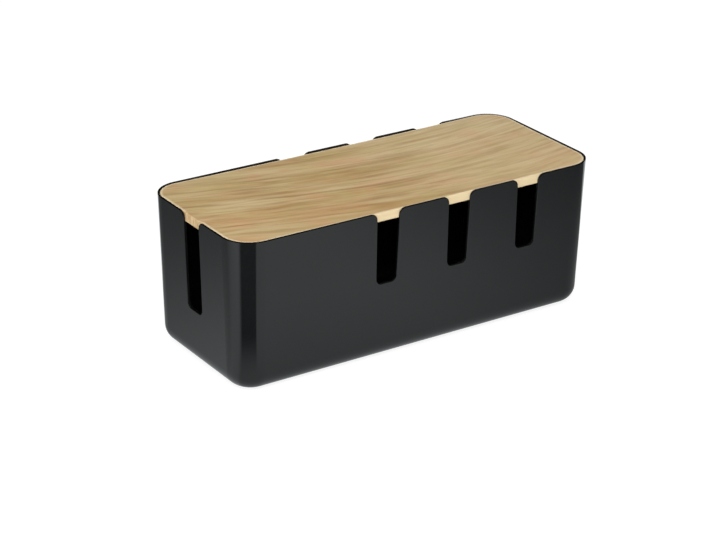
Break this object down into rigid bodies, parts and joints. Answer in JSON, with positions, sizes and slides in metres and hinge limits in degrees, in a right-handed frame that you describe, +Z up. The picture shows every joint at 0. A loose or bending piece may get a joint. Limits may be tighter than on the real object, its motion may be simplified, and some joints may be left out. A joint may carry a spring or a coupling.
{
  "type": "cable management box",
  "caption": "Long open-topped plastic box with cable slots in its walls and a loose wooden lid, which hides a power strip and its leads.",
  "frame": {"origin": "centre of the box's footprint, on the table under the feet", "axes": "+X along the box, away from the end wall that has the slot for the mains lead; -Y towards the front wall; +Z up, the way the lid lifts"},
  "size_m": [0.3034, 0.125, 0.1144],
  "materials": {
    "black_plastic": "glossy moulded black",
    "lid_wood": "pale wood with a thin satin lacquer",
    "foot_rubber": "matt black"
  },
  "bodies": {
    "box": {"box_body": "black_plastic", "foot_front_left": "foot_rubber", "foot_front_right": "foot_rubber", "foot_back_left": "foot_rubber", "foot_back_right": "foot_rubber"},
    "lid": {"lid": "lid_wood"}
  },
  "joints": [
    {"name": "lid_lift", "type": "slide", "parent": "box", "child": "lid", "axis": [0, 0, 1], "range_m": [0, 0.12]}
  ]
}
